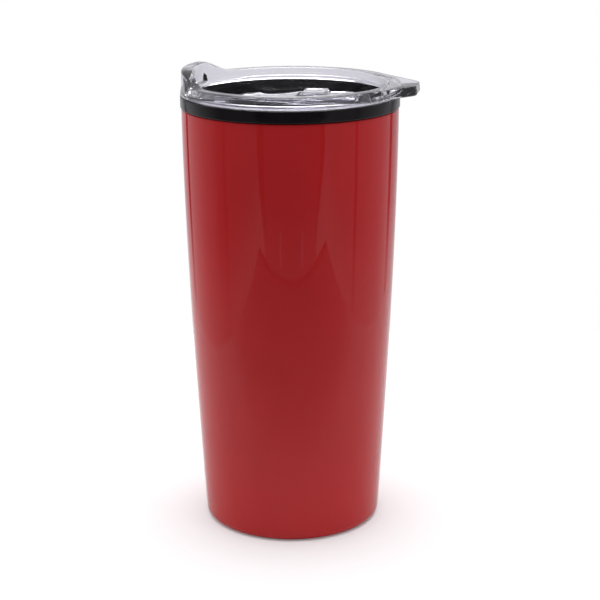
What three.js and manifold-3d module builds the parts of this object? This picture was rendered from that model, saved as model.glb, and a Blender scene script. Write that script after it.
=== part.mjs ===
// Insulated tumbler: a steel outer cup over a moulded inner cup, with a clear push-on lid and slide closure.
// Millimetres, +Z up, origin at the centre of the base. The spout points along -X, the thumb tab along +X.
import * as THREE from 'three';
import { ConvexGeometry } from 'three/addons/geometries/ConvexGeometry.js';
import { mergeVertices } from 'three/addons/utils/BufferGeometryUtils.js';
import Module from 'manifold-3d';

const wasm = await Module();
wasm.setup();

// ---- Driving dimensions ----
const SEGMENTS = 40; // facets round every turned piece, all in line with each other
const GAP = 0.3; // clearance between pieces that touch on the real object

// Steel outer shell
const SHELL_TOP_R = 43.1;
const SHELL_BASE_R = 36.0;
const SHELL_TOP_Z = 171.6;
const SHELL_TAPER = 1.6; // power of the side curve: nearly straight at the top, leaning in below
const SHELL_WALL = 0.8;
const BASE_CORNER_R = 3.2;
const HEM_INNER_R = 29.5;
const SIDE_STEPS = 8;

// Moulded inner cup, with the collar that shows above the shell
const COLLAR_R = 43.5;
const COLLAR_BOTTOM_Z = 171.9;
const RIM_Z = 176.6;
const MOUTH_R = 40.3; // straight mouth that the lid's plug goes into
const MOUTH_BOTTOM_Z = 164.0;
const SHOULDER_R = 38.4; // where the mouth steps in to the tapered wall
const SHOULDER_Z = 161.0;
const LINER_BASE_R = 31.5;
const LINER_FLOOR_Z = 6.0;
const LINER_TAPER = 1.4;
const LINER_WALL = 1.5;
const LINER_CORNER_R = 6.0;
const TONGUE_R = 41.6; // outside of the ring under the collar that plugs into the shell
const TONGUE_BOTTOM_Z = 156.9;
const SEAL_GROOVE_Z = [158.2, 161.2];
const SEAL_GROOVE_R = 40.3;

// Lid
const LID_R = 43.5;
const LID_SEAT_Z = RIM_Z + GAP;
const LID_TOP_Z = 181.5;
const RECESS_R = 38.5; // inside of the rim and of the plug wall
const FLOOR_Z = 170.1;
const FLOOR_THICK = 1.8;
const PLUG_R = 39.7;
const PLUG_FOOT_R = 36.6; // inside of the plug's ring under the floor
const PLUG_BOTTOM_Z = 166.0;
const EDGE_R = 0.8;
const GASKET_GROOVE_Z = [167.2, 170.0];
const GASKET_GROOVE_R = 38.5;
const CHANNEL_R = [40.6, 41.7]; // groove up inside the rim that keeps its walls even
const CHANNEL_TOP_Z = 178.2;
const CHANNEL_END_X = 27.0; // it stops short of the spout and of the tab

// Drinking spout, and the scoop in its inner face that fades out towards the lip
const SPOUT_TOP_Z = 187.1;
const SPOUT_FLAT_HALF = 11.5;
const SPOUT_FOOT_HALF = 29.0;
const SCOOP_BOTTOM_Z = 178.4;
const SCOOP_TOP_Z = 185.6;
const SCOOP_DEPTH = [1.7, -0.4]; // beyond the recess wall, at the bottom and at the top
const SCOOP_HALF = [20.0, 16.0]; // half angle either side of the spout, in degrees

// Thumb tab
const TAB_TIP_X = 51.1;
const TAB_EDGE_ANGLE = THREE.MathUtils.degToRad(40); // where its straight sides leave the rim
const TAB_CORNER_R = 3.5;
const TAB_BOTTOM_Z = 177.6;

// Track for the slide closure, and the drink hole
const TRACK_TOP_Z = 173.3;
const TRACK_HALF = 11.7;
const TRACK_END_X = 28.6;
const RAIL_START_X = 0.0; // the lipped rails hold only the tail half of the slide closure
const RAIL_TOP_Z = 175.8;
const RAIL_LIP_Z = 174.8;
const RAIL_WALL_HALF = 9.9;
const RAIL_LIP_HALF = 8.3;
const STOP_THICK = 1.8;
const HOLE_X = [-31.5, -24.5];
const HOLE_HALF = 6.0;
const HOLE_CORNER_R = 2.0;
const VENT_R = 1.2;
const VENT_X = 31.8;

// Slide closure, at rest in its open place
const SLIDER_X = [-23.0, 26.5];
const SLIDER_BOTTOM_Z = TRACK_TOP_Z + GAP;
const FLANGE_TOP_Z = 174.5;
const FLANGE_HALF = RAIL_WALL_HALF - GAP;
const SLIDER_HALF = RAIL_LIP_HALF - GAP;
const SLIDER_CORNER_R = 5.0;
const NOSE_TOP_Z = 175.2;
const BEAD_X = -13.9; // low bead across the nose
const BEAD_TOP_Z = 175.6;
const WEDGE_X = [-10.5, 2.9]; // rising part between the nose and the slot in front of the grip
const WEDGE_TOP_Z = 176.4;
const TAIL_TOP_Z = 176.8;
const SLOT_WIDTH = 0.8;
const SLOT_BOTTOM_Z = 175.4;
const GRIP_X = [WEDGE_X[1] + SLOT_WIDTH, 15.4];
const GRIP_TOP_X = [5.3, 14.0];
const GRIP_TOP_Z = 178.0;
const GRIP_HALF = 6.5;
const SEAL_PAD_X = [-22.0, -11.5];
const SEAL_PAD_HALF = 7.0;
const SEAL_PAD_TOP_Z = 174.2;
const SEAL_PAD_CORNER_R = 3.7;

// ---- Helpers ----

// Turns a closed geometry into a manifold solid.
function solid(geometry) {
  const plain = geometry.clone();
  plain.deleteAttribute('normal');
  plain.deleteAttribute('uv');
  const merged = mergeVertices(plain, 1e-4);
  const source = merged.index.array;
  const triangles = [];
  for (let i = 0; i < source.length; i += 3) {
    const [a, b, c] = [source[i], source[i + 1], source[i + 2]];
    if (a !== b && b !== c && c !== a) triangles.push(a, b, c);
  }
  const position = merged.attributes.position;
  const corner = (i) => new THREE.Vector3().fromBufferAttribute(position, i);
  let volume = 0;
  for (let i = 0; i < triangles.length; i += 3) {
    const [a, b, c] = [corner(triangles[i]), corner(triangles[i + 1]), corner(triangles[i + 2])];
    volume += a.dot(b.cross(c));
  }
  if (volume < 0) triangles.reverse();
  return new wasm.Manifold(new wasm.Mesh({
    numProp: 3,
    vertProperties: Float32Array.from(position.array),
    triVerts: Uint32Array.from(triangles),
  }));
}

// A turned solid from a closed profile of [radius, height] points.
function turned(profile) {
  const points = profile.map(([r, z]) => new THREE.Vector2(r, z));
  const [first, last] = [points[0], points[points.length - 1]];
  if (first.x > 0 || last.x > 0) points.push(first.clone());
  return solid(new THREE.LatheGeometry(points, SEGMENTS).rotateX(Math.PI / 2));
}

// A ring of rectangular section.
function ring([rIn, rOut], [zLow, zHigh]) {
  return turned([[rIn, zLow], [rOut, zLow], [rOut, zHigh], [rIn, zHigh]]);
}

function block([x0, x1], [y0, y1], [z0, z1]) {
  const box = new THREE.BoxGeometry(x1 - x0, y1 - y0, z1 - z0);
  return solid(box.translate((x0 + x1) / 2, (y0 + y1) / 2, (z0 + z1) / 2));
}

// Points of an arc in a profile; angles in degrees.
function arc(centreR, centreZ, radius, from, to, steps = 3) {
  return Array.from({ length: steps + 1 }, (_, i) => {
    const angle = THREE.MathUtils.degToRad(from + ((to - from) * i) / steps);
    return [centreR + radius * Math.cos(angle), centreZ + radius * Math.sin(angle)];
  });
}

// A rounded rectangle in plan, raised between two heights.
function roundedPlate([x0, x1], half, corner, [z0, z1]) {
  const shape = new THREE.Shape();
  shape.absarc(x1 - corner, half - corner, corner, 0, Math.PI / 2);
  shape.absarc(x0 + corner, half - corner, corner, Math.PI / 2, Math.PI);
  shape.absarc(x0 + corner, corner - half, corner, Math.PI, 1.5 * Math.PI);
  shape.absarc(x1 - corner, corner - half, corner, 1.5 * Math.PI, 2 * Math.PI);
  const options = { depth: z1 - z0, bevelEnabled: false, curveSegments: 5 };
  return solid(new THREE.ExtrudeGeometry(shape, options).translate(0, 0, z0));
}

// A side outline in X and Z, spread evenly to both sides in Y.
function sideExtrusion(shape, half) {
  const options = { depth: 2 * half, bevelEnabled: false, curveSegments: 6 };
  return solid(new THREE.ExtrudeGeometry(shape, options).rotateX(Math.PI / 2).translate(0, half, 0));
}

// An end outline in Y and Z, drawn out along X.
function endExtrusion(shape, [x0, x1]) {
  const turn = new THREE.Matrix4().makeBasis(
    new THREE.Vector3(0, 1, 0), new THREE.Vector3(0, 0, 1), new THREE.Vector3(1, 0, 0));
  const options = { depth: x1 - x0, bevelEnabled: false, curveSegments: 6 };
  return solid(new THREE.ExtrudeGeometry(shape, options).applyMatrix4(turn).translate(x0, 0, 0));
}

function outline(points) {
  return new THREE.Shape(points.map(([a, b]) => new THREE.Vector2(a, b)));
}

// ---- Curves shared by several pieces ----

function shellRadius(z) {
  const down = Math.max(0, (COLLAR_BOTTOM_Z - z) / COLLAR_BOTTOM_Z);
  return SHELL_TOP_R - (SHELL_TOP_R - SHELL_BASE_R) * down ** SHELL_TAPER;
}

function linerRadius(z) {
  const down = (SHOULDER_Z - z) / (SHOULDER_Z - LINER_FLOOR_Z);
  return SHOULDER_R - (SHOULDER_R - LINER_BASE_R) * Math.max(0, down) ** LINER_TAPER;
}

// Points up a side from one height to another, on a radius function moved by an offset.
function sidePoints(radius, offset, from, to) {
  return Array.from({ length: SIDE_STEPS + 1 }, (_, i) => {
    const z = from + ((to - from) * i) / SIDE_STEPS;
    return [radius(z) + offset, z];
  });
}

// ---- Cup ----

// Deep-drawn steel sleeve, turned in under the cup to make the ring that it stands on.
function outerShell() {
  const cornerR = shellRadius(BASE_CORNER_R) - BASE_CORNER_R;
  return turned([
    [HEM_INNER_R, 0],
    ...arc(cornerR, BASE_CORNER_R, BASE_CORNER_R, -90, -22.5),
    ...sidePoints(shellRadius, 0, BASE_CORNER_R, SHELL_TOP_Z),
    ...sidePoints(shellRadius, -SHELL_WALL, SHELL_TOP_Z, BASE_CORNER_R),
    ...arc(cornerR, BASE_CORNER_R, BASE_CORNER_R - SHELL_WALL, -30, -90, 2),
    [HEM_INNER_R, SHELL_WALL],
  ]);
}

// Flat bottom disc, flush with the ring, with a raised edge seated on the inside of the hem.
function shellBase() {
  const [flatR, stepR, flangeR] = [HEM_INNER_R - 1.1, HEM_INNER_R - GAP, 32.4];
  const seat = SHELL_WALL + GAP;
  return turned([
    [0, 0],
    [flatR, 0],
    [stepR, SHELL_WALL],
    [stepR, seat],
    [flangeR, seat],
    [flangeR, seat + SHELL_WALL],
    [flatR, seat + SHELL_WALL],
    [flatR - SHELL_WALL, SHELL_WALL],
    [0, SHELL_WALL],
  ]);
}

// Inner cup: floor, tapered wall, straight mouth, rim collar, and the tongue with its seal groove.
function innerLiner() {
  const wallFoot = LINER_FLOOR_Z + LINER_CORNER_R;
  const outerFoot = wallFoot - 0.5;
  const outerCorner = LINER_CORNER_R + LINER_WALL - 0.5;
  const cornerR = linerRadius(wallFoot) - LINER_CORNER_R;
  const edge = 0.5;
  return turned([
    [0, LINER_FLOOR_Z],
    ...arc(cornerR, wallFoot, LINER_CORNER_R, -90, -22.5),
    ...sidePoints(linerRadius, 0, wallFoot, SHOULDER_Z),
    [MOUTH_R, MOUTH_BOTTOM_Z],
    [MOUTH_R, RIM_Z - edge],
    [MOUTH_R + edge, RIM_Z],
    [COLLAR_R - edge, RIM_Z],
    [COLLAR_R, RIM_Z - edge],
    [COLLAR_R, COLLAR_BOTTOM_Z],
    [TONGUE_R, COLLAR_BOTTOM_Z],
    [TONGUE_R, SEAL_GROOVE_Z[1]],
    [SEAL_GROOVE_R, SEAL_GROOVE_Z[1]],
    [SEAL_GROOVE_R, SEAL_GROOVE_Z[0]],
    [TONGUE_R, SEAL_GROOVE_Z[0]],
    [TONGUE_R, TONGUE_BOTTOM_Z],
    ...sidePoints(linerRadius, LINER_WALL, TONGUE_BOTTOM_Z, outerFoot),
    ...arc(linerRadius(outerFoot) + LINER_WALL - outerCorner, outerFoot, outerCorner, -22.5, -90),
    [0, outerFoot - outerCorner],
  ]);
}

// Soft ring in the tongue's groove that keeps water out of the air gap.
function linerSealRing() {
  const [low, high] = [SEAL_GROOVE_Z[0] + GAP, SEAL_GROOVE_Z[1] - GAP];
  const inner = SEAL_GROOVE_R + GAP;
  const outer = shellRadius(low) - SHELL_WALL - GAP;
  return turned([
    [inner, low],
    [outer - 0.3, low],
    [outer, (low + high) / 2],
    [outer - 0.3, high],
    [inner, high],
  ]);
}

// ---- Lid ----

// Rim, plug wall and floor of the lid, turned as one.
function lidBowl() {
  const corner = 1.4;
  const under = FLOOR_Z - FLOOR_THICK;
  return turned([
    [0, under],
    [PLUG_FOOT_R - 0.4, under],
    [PLUG_FOOT_R, under - 0.4],
    [PLUG_FOOT_R, PLUG_BOTTOM_Z],
    [PLUG_R - 0.5, PLUG_BOTTOM_Z],
    [PLUG_R, PLUG_BOTTOM_Z + 0.5],
    [PLUG_R, GASKET_GROOVE_Z[0]],
    [GASKET_GROOVE_R, GASKET_GROOVE_Z[0]],
    [GASKET_GROOVE_R, GASKET_GROOVE_Z[1]],
    [PLUG_R, GASKET_GROOVE_Z[1]],
    [PLUG_R, LID_SEAT_Z - 0.4],
    [PLUG_R + 0.4, LID_SEAT_Z],
    [LID_R - 0.3, LID_SEAT_Z],
    [LID_R, LID_SEAT_Z + 0.3],
    ...arc(LID_R - EDGE_R, LID_TOP_Z - EDGE_R, EDGE_R, 0, 90),
    ...arc(RECESS_R + EDGE_R, LID_TOP_Z - EDGE_R, EDGE_R, 90, 180),
    ...arc(RECESS_R - corner, FLOOR_Z + corner, corner, 0, -90),
    [0, FLOOR_Z],
  ]);
}

// Raised drinking lip: the rim's own ring, kept where a smooth hump in Y and Z covers it.
function spout() {
  const foot = LID_TOP_Z - 2;
  const lip = turned([
    [RECESS_R, foot],
    [LID_R, foot],
    ...arc(LID_R - EDGE_R, SPOUT_TOP_Z - EDGE_R, EDGE_R, 0, 90),
    ...arc(RECESS_R + EDGE_R, SPOUT_TOP_Z - EDGE_R, EDGE_R, 90, 180),
  ]);
  const [flat, reach] = [SPOUT_FLAT_HALF, SPOUT_FOOT_HALF];
  const hump = new THREE.Shape();
  hump.moveTo(-reach, foot);
  hump.lineTo(-reach, LID_TOP_Z - 0.1);
  hump.bezierCurveTo(-reach + 5, LID_TOP_Z - 0.1, -flat - 6, SPOUT_TOP_Z, -flat, SPOUT_TOP_Z);
  hump.lineTo(flat, SPOUT_TOP_Z);
  hump.bezierCurveTo(flat + 6, SPOUT_TOP_Z, reach - 5, LID_TOP_Z - 0.1, reach, LID_TOP_Z - 0.1);
  hump.lineTo(reach, foot);
  return lip.intersect(endExtrusion(hump, [-LID_R - 2, 0]));
}

// Hollow of the scoop: a wedge of the wall, deepest at its bottom, with steep sides.
function scoopCut() {
  const [levels, arcSteps, innerR] = [5, 6, RECESS_R - 4];
  const points = [];
  for (let i = 0; i <= levels; i += 1) {
    const t = i / levels;
    const z = THREE.MathUtils.lerp(SCOOP_BOTTOM_Z, SCOOP_TOP_Z, t);
    const radius = RECESS_R + THREE.MathUtils.lerp(...SCOOP_DEPTH, t ** 1.5);
    const half = THREE.MathUtils.degToRad(THREE.MathUtils.lerp(...SCOOP_HALF, t));
    const place = (r, angle) => new THREE.Vector3(-r * Math.cos(angle), r * Math.sin(angle), z);
    for (let k = 0; k <= arcSteps; k += 1) points.push(place(radius, half * ((2 * k) / arcSteps - 1)));
    points.push(place(innerR, half), place(innerR, -half));
  }
  return solid(new ConvexGeometry(points));
}

// Thumb tab: straight sides that leave the rim at a tangent and meet in a rounded tip.
function thumbTab() {
  const inner = CHANNEL_R[1] + 0.4;
  const outer = LID_R - 0.1;
  const a = TAB_EDGE_ANGLE;
  const cornerX = TAB_TIP_X - TAB_CORNER_R;
  const cornerY = (outer - TAB_CORNER_R - cornerX * Math.cos(a)) / Math.sin(a);
  const shape = new THREE.Shape();
  shape.absarc(0, 0, inner, a, -a, true);
  shape.lineTo(outer * Math.cos(a), -outer * Math.sin(a));
  shape.absarc(cornerX, -cornerY, TAB_CORNER_R, -a, 0);
  shape.absarc(cornerX, cornerY, TAB_CORNER_R, 0, a);
  shape.lineTo(outer * Math.cos(a), outer * Math.sin(a));
  const options = { depth: LID_TOP_Z - TAB_BOTTOM_Z, bevelEnabled: false, curveSegments: 10 };
  return solid(new THREE.ExtrudeGeometry(shape, options).translate(0, 0, TAB_BOTTOM_Z));
}

// Raised track across the well, with lipped rails along its tail half, cut to the plug wall.
function sliderTrack() {
  const foot = FLOOR_Z - 0.05; // a little into the floor, clear of the gasket groove
  const overlap = TRACK_TOP_Z - 1;
  const platform = block([-LID_R, TRACK_END_X], [-TRACK_HALF, TRACK_HALF], [foot, TRACK_TOP_Z]);
  const railSection = (side) => outline([
    [side * TRACK_HALF, overlap],
    [side * TRACK_HALF, RAIL_TOP_Z],
    [side * RAIL_LIP_HALF, RAIL_TOP_Z],
    [side * RAIL_LIP_HALF, RAIL_LIP_Z],
    [side * RAIL_WALL_HALF, RAIL_LIP_Z],
    [side * RAIL_WALL_HALF, overlap],
  ]);
  const railX = [RAIL_START_X, TRACK_END_X];
  const stopX = [TRACK_END_X - STOP_THICK, TRACK_END_X];
  const wellR = (RECESS_R + PLUG_R) / 2;
  const well = turned([[0, foot - 1], [wellR, foot - 1], [wellR, LID_TOP_Z], [0, LID_TOP_Z]]);
  return platform
    .add(endExtrusion(railSection(1), railX))
    .add(endExtrusion(railSection(-1), railX))
    .add(block(stopX, [-TRACK_HALF, TRACK_HALF], [overlap, RAIL_TOP_Z]))
    .intersect(well);
}

// Space under the track, open to the cup.
function trackHollow() {
  const wall = FLOOR_THICK;
  const top = TRACK_TOP_Z - wall;
  const halfWidth = TRACK_HALF - wall;
  return block([HOLE_X[0] - 1.2, TRACK_END_X - wall], [-halfWidth, halfWidth], [PLUG_BOTTOM_Z, top]);
}

function lidBody() {
  const channelSpan = block([-CHANNEL_END_X, CHANNEL_END_X], [-LID_R, LID_R], [0, SPOUT_TOP_Z]);
  const channel = ring(CHANNEL_R, [LID_SEAT_Z - 1, CHANNEL_TOP_Z]).intersect(channelSpan);
  const hole = roundedPlate(HOLE_X, HOLE_HALF, HOLE_CORNER_R, [FLOOR_Z, TRACK_TOP_Z + 1]);
  const vent = new THREE.CylinderGeometry(VENT_R, VENT_R, 6, 12).rotateX(Math.PI / 2);
  return lidBowl()
    .subtract(channel)
    .add(spout())
    .add(thumbTab())
    .add(sliderTrack())
    .subtract(scoopCut())
    .subtract(trackHollow())
    .subtract(hole)
    .subtract(solid(vent.translate(VENT_X, 0, FLOOR_Z)));
}

// Soft ring round the plug with two sealing ribs.
function lidGasket() {
  const [low, high] = [GASKET_GROOVE_Z[0] + GAP, GASKET_GROOVE_Z[1] - GAP];
  const inner = GASKET_GROOVE_R + GAP;
  const waist = PLUG_R - 0.2;
  const rib = MOUTH_R - GAP - 0.05;
  const third = (high - low) / 3;
  return turned([
    [inner, low],
    [rib, low],
    [rib, low + third],
    [waist, (low + high) / 2],
    [rib, high - third],
    [rib, high],
    [inner, high],
  ]);
}

// ---- Slide closure ----

// Low bead across the nose, a wedge that rises to the grip behind a narrow slot, and a rounded tail.
function sliderSideOutline() {
  const [nose, tail] = SLIDER_X;
  const [wedgeStart, wedgeEnd] = WEDGE_X;
  const beadFoot = 2.4;
  const shape = new THREE.Shape();
  shape.moveTo(nose, SLIDER_BOTTOM_Z);
  shape.lineTo(nose, NOSE_TOP_Z - 0.6);
  shape.quadraticCurveTo(nose + 0.5, NOSE_TOP_Z, nose + 3, NOSE_TOP_Z);
  shape.lineTo(BEAD_X - beadFoot, NOSE_TOP_Z);
  shape.quadraticCurveTo(BEAD_X - 0.8, BEAD_TOP_Z, BEAD_X, BEAD_TOP_Z);
  shape.quadraticCurveTo(BEAD_X + 0.8, BEAD_TOP_Z, BEAD_X + beadFoot, NOSE_TOP_Z + 0.1);
  shape.lineTo(wedgeStart, NOSE_TOP_Z + 0.1);
  shape.lineTo(wedgeEnd, WEDGE_TOP_Z);
  shape.lineTo(wedgeEnd, SLOT_BOTTOM_Z);
  shape.lineTo(GRIP_X[0], SLOT_BOTTOM_Z);
  shape.lineTo(GRIP_X[0], WEDGE_TOP_Z - 0.2);
  shape.lineTo(GRIP_X[1], WEDGE_TOP_Z);
  shape.lineTo(tail - 2.5, TAIL_TOP_Z);
  shape.quadraticCurveTo(tail, TAIL_TOP_Z - 0.1, tail, FLANGE_TOP_Z + 0.3);
  shape.lineTo(tail, SLIDER_BOTTOM_Z);
  return shape;
}

function slider() {
  const zRange = [SLIDER_BOTTOM_Z, GRIP_TOP_Z];
  const flange = roundedPlate(SLIDER_X, FLANGE_HALF, SLIDER_CORNER_R, [SLIDER_BOTTOM_Z, FLANGE_TOP_Z]);
  const plan = roundedPlate(SLIDER_X, SLIDER_HALF, SLIDER_CORNER_R - 0.5, zRange);
  const grip = sideExtrusion(outline([
    [GRIP_X[0], SLOT_BOTTOM_Z], [GRIP_X[1], SLOT_BOTTOM_Z], [GRIP_X[1], WEDGE_TOP_Z + 0.2],
    [GRIP_TOP_X[1], GRIP_TOP_Z], [GRIP_TOP_X[0], GRIP_TOP_Z], [GRIP_X[0], WEDGE_TOP_Z - 0.2],
  ]), GRIP_HALF);
  const pocketX = [SEAL_PAD_X[0] - GAP, SEAL_PAD_X[1] + GAP];
  const pocketZ = [SLIDER_BOTTOM_Z - 1, SEAL_PAD_TOP_Z + GAP];
  const pocket = roundedPlate(pocketX, SEAL_PAD_HALF + GAP, SEAL_PAD_CORNER_R + GAP, pocketZ);
  return sideExtrusion(sliderSideOutline(), SLIDER_HALF)
    .intersect(plan)
    .add(flange)
    .add(grip)
    .subtract(pocket);
}

function sliderSeal() {
  return roundedPlate(SEAL_PAD_X, SEAL_PAD_HALF, SEAL_PAD_CORNER_R, [SLIDER_BOTTOM_Z, SEAL_PAD_TOP_Z]);
}

// ---- Assembly ----

const paintedSteel = { color: 0xa02128, roughness: 0.22, metalness: 0.15 };
const bareSteel = { color: 0xb9bbbd, roughness: 0.35, metalness: 1.0 };
const blackMoulding = { color: 0x151214, roughness: 0.3, metalness: 0.0 };
const clearPlastic = { color: 0xdfe2e6, roughness: 0.06, metalness: 0.0, transparent: true, opacity: 0.45 };
const softRubber = { color: 0xd9dadb, roughness: 0.6, metalness: 0.0 };

function named(name, manifold, look) {
  const { vertProperties, triVerts } = manifold.getMesh();
  const geometry = new THREE.BufferGeometry();
  geometry.setAttribute('position', new THREE.BufferAttribute(vertProperties, 3));
  geometry.setIndex(new THREE.BufferAttribute(triVerts, 1));
  geometry.computeVertexNormals();
  const mesh = new THREE.Mesh(geometry, new THREE.MeshStandardMaterial(look));
  mesh.name = name;
  return mesh;
}

const cup = new THREE.Group();
cup.add(
  named('outer_shell', outerShell(), paintedSteel),
  named('shell_base', shellBase(), bareSteel),
  named('inner_liner', innerLiner(), blackMoulding),
  named('liner_seal_ring', linerSealRing(), softRubber),
);

const lid = new THREE.Group();
lid.add(
  named('lid_body', lidBody(), clearPlastic),
  named('lid_gasket', lidGasket(), softRubber),
);

const closure = new THREE.Group();
closure.add(
  named('slider', slider(), clearPlastic),
  named('slider_seal', sliderSeal(), softRubber),
);

const tumbler = new THREE.Group();
tumbler.add(cup, lid, closure);

export default tumbler;
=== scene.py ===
"""Insulated tumbler with a clear lid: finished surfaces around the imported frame. Metres, +Z up."""
import math

import bmesh
import bpy
from mathutils import Matrix, Vector


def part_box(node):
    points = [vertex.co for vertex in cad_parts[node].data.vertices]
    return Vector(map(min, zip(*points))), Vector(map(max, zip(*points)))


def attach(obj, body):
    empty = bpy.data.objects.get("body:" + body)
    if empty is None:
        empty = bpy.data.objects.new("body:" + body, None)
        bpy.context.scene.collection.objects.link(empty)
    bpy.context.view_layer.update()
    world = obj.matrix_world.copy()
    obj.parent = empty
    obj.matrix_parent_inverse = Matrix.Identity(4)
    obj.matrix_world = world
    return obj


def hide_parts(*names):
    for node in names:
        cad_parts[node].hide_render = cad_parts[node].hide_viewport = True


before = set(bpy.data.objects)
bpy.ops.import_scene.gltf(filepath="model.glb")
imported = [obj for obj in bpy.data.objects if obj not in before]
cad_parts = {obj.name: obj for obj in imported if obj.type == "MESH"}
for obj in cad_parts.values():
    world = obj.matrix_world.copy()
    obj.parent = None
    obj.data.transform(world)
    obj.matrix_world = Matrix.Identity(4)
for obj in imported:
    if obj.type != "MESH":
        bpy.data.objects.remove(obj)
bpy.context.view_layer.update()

MM = 0.001


def box_mm(node):
    """A node's lowest and highest corners, in millimetres."""
    return [Vector(corner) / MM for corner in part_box(node)]


# ---- Sizes read from the frame, in millimetres ----
SHELL_HIGH = box_mm("outer_shell")[1]
LINER_LOW, LINER_HIGH = box_mm("inner_liner")
RING_LOW, RING_HIGH = box_mm("liner_seal_ring")
BASE_HIGH = box_mm("shell_base")[1]
LID_LOW, LID_HIGH = box_mm("lid_body")
GASKET_LOW, GASKET_HIGH = box_mm("lid_gasket")
SLIDER_LOW, SLIDER_HIGH = box_mm("slider")
PAD_LOW, PAD_HIGH = box_mm("slider_seal")

# ---- Cup ----
GAP = 0.3
SHELL_TOP_R = SHELL_HIGH.y
SHELL_BASE_R = 36.0
SHELL_TAPER = 1.6  # power of the taper: steeper towards the foot
SHELL_WALL = 0.8
SHELL_LIP = 0.25
BASE_CORNER_R = 3.2
HEM_INNER_R = 29.5  # edge of the shell's turned-in foot
COLLAR_R = LINER_HIGH.y
RIM_Z = LINER_HIGH.z
COLLAR_BOTTOM_Z = SHELL_HIGH.z + GAP
MOUTH_R = 40.3
MOUTH_BOTTOM_Z = 164.0
SHOULDER_R = 38.4
SHOULDER_Z = 161.0
LINER_BASE_R = 31.5
LINER_FLOOR_Z = LINER_LOW.z + 1.5
LINER_TAPER = 1.4
LINER_WALL = 1.5
LINER_CORNER_R = 6.0
TONGUE_R = 41.6  # part of the inner cup that drops inside the shell
TONGUE_BOTTOM_Z = 156.9
RING_GROOVE_R = 40.3

# ---- Lid ----
LID_R = LID_HIGH.y
LID_SEAT_Z = RIM_Z + GAP
LID_TOP_Z = 181.5
SPOUT_TOP_Z = LID_HIGH.z - 0.35
RECESS_R = 38.5
WELL_MIDDLE_R = 20.0
FLOOR_Z = 170.1
FLOOR_THICK = 1.8
PLUG_R = 39.7
PLUG_FOOT_R = 36.6
PLUG_BOTTOM_Z = LID_LOW.z
GASKET_GROOVE_R = 38.5
CHANNEL_R = (40.6, 41.7)  # groove up inside the rim
CHANNEL_TOP_Z = 178.2
CHANNEL_FADE = (math.radians(30), math.radians(60))  # it runs out before the spout and the tab
SPOUT_FLAT_HALF = 11.5
SPOUT_FOOT_HALF = 29.0
SIDE_DRAFT = 0.165  # slope of the rim's outside, inwards for each step up
TAB_DRAFT = 0.1
DRAFT_TOP_Z = 181.0
SCOOP_BOTTOM_Z = 178.4
SCOOP_TOP_Z = 185.2
SCOOP_DEPTH = 1.7
SCOOP_FADE = 1.2  # power by which the depth fades with height
SCOOP_HALF = (19.5, 16.0)  # degrees either side of the spout, at the bottom and at the top
SCOOP_SIDE = (-1.1, 0.1)  # degrees over which its sides step out
SCOOP_FOLLOW = (2.0, 9.0)  # degrees from its sides over which the mesh stops following them
WALL_ROWS = 14  # mesh rows up the inside of the rim
TAB_TIP_X = LID_HIGH.x
TAB_EDGE_ANGLE = math.radians(40)  # where its sides leave the rim
TAB_CORNER_R = 3.5
TAB_BOTTOM_Z = 177.7

# ---- Track and slide closure ----
TRACK_TOP_Z = SLIDER_LOW.z - GAP
TRACK_HALF = 11.7
TRACK_END_X = 28.6
RAIL_START_X = 0.0
RAIL_TOP_Z = 175.8
RAIL_LIP_Z = 174.8
RAIL_WALL_HALF = 9.9
RAIL_LIP_HALF = 8.3
HOLE_X = (-31.5, -24.5)
HOLE_HALF = 6.0
VENT_X = 31.8
VENT_R = 1.2
FLANGE_TOP_Z = 174.5
FLANGE_HALF = SLIDER_HIGH.y
SLIDER_HALF = 8.0
SLIDER_THICK = 1.65
NOSE_DROP, NOSE_RUN = 1.0, 4.0
TAIL_DROP, TAIL_RUN = 1.3, 2.5
BEAD_X, BEAD_RISE, BEAD_WIDTH = -14.6, 0.35, 1.9
RAMP_RISES = ((1.0, -11, 3), (0.4, 3, 24))  # each is a rise, and the X values that it starts and ends at
GRIP_X = (3.4, 15.4)
GRIP_HALF = 6.5
GRIP_TOP_Z = SLIDER_HIGH.z
GRIP_FOOT_Z = 174.8
SLOT_X, SLOT_DEPTH, SLOT_HALF = GRIP_X[0] - 0.1, 1.1, 0.45
PAD_CORNER_R = 3.7


# ---- Mesh helpers ----

def rounded(corners, steps=4, closed=False):
    """Points of an outline through (x, y, radius) corners, each turned by an arc of its radius."""
    points = []
    count = len(corners)
    for i, (x, y, radius) in enumerate(corners):
        here = Vector((x, y))
        end = not closed and i in (0, count - 1)
        back = Vector(corners[i - 1][:2]) - here
        ahead = Vector(corners[(i + 1) % count][:2]) - here
        if end or radius == 0:
            points.append(here)
            continue
        if min(back.length, ahead.length) < 1e-6:
            points += [here] * (steps + 1)
            continue
        turn = back.angle(ahead)
        if turn > math.pi - 1e-3:
            points += [here] * (steps + 1)
            continue
        run = min(radius / math.tan(turn / 2), 0.48 * back.length, 0.48 * ahead.length)
        radius = run * math.tan(turn / 2)
        centre = here + (back.normalized() + ahead.normalized()).normalized() * radius / math.sin(turn / 2)
        first = here + back.normalized() * run - centre
        last = here + ahead.normalized() * run - centre
        span = first.angle(last)
        for k in range(steps + 1):
            t = k / steps
            mix = (first * math.sin((1 - t) * span) + last * math.sin(t * span)) / math.sin(span)
            points.append(centre + mix)
    return points


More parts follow.
